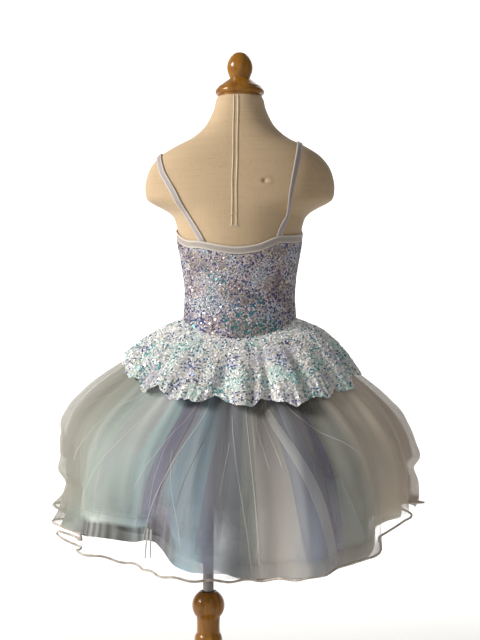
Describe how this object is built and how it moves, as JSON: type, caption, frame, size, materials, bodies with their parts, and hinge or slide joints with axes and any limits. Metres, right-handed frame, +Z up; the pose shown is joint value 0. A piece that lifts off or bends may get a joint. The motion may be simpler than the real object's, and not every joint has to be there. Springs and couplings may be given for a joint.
{
  "type": "sequin tutu dress on a dress form and stand",
  "caption": "Child's camisole dance dress with sequin bodice, ruffled sequin peplum and full layered tulle tutu, worn by a limbless linen dress form on a pole and turned wooden stand.",
  "frame": {"origin": "centre of the stand base's underside, on the floor and on the pole's axis", "axes": "+Z up; +Y towards the front of the dress, -Y towards its low back; +X to the right of someone who looks at the back. The form stands 55 mm beside the pole, towards +X"},
  "size_m": [0.6462, 0.6275, 1.2441],
  "materials": {
    "linen": "cream linen, matt, fine plain weave",
    "turned_wood": "honey-orange turned wood, gloss varnish",
    "chrome": "plated steel tube, bright but worn",
    "sequin_cloth": "pale stretch knit covered with iridescent sequins",
    "binding_elastic": "white fold-over elastic, satin face",
    "white_tulle": "white tulle, see-through, gathered",
    "mint_tulle": "mint tulle, see-through, gathered",
    "lavender_tulle": "lavender tulle, see-through, gathered",
    "hem_satin": "white corded hem edge"
  },
  "bodies": {
    "root": {"stand_base": "turned_wood", "stand_post": "turned_wood", "pole_flange": "chrome", "pole": "chrome", "form_body": "linen", "neck_cap": "turned_wood", "bodice_front": "sequin_cloth", "binding_front": "binding_elastic", "bodice_back": "sequin_cloth", "binding_back": "binding_elastic", "strap_left": "binding_elastic", "strap_right": "binding_elastic", "peplum": "sequin_cloth", "tutu_top_layer": "white_tulle", "tutu_middle_layer": "mint_tulle", "tutu_under_layer": "lavender_tulle", "tutu_hem_cord": "hem_satin"}
  },
  "joints": []
}
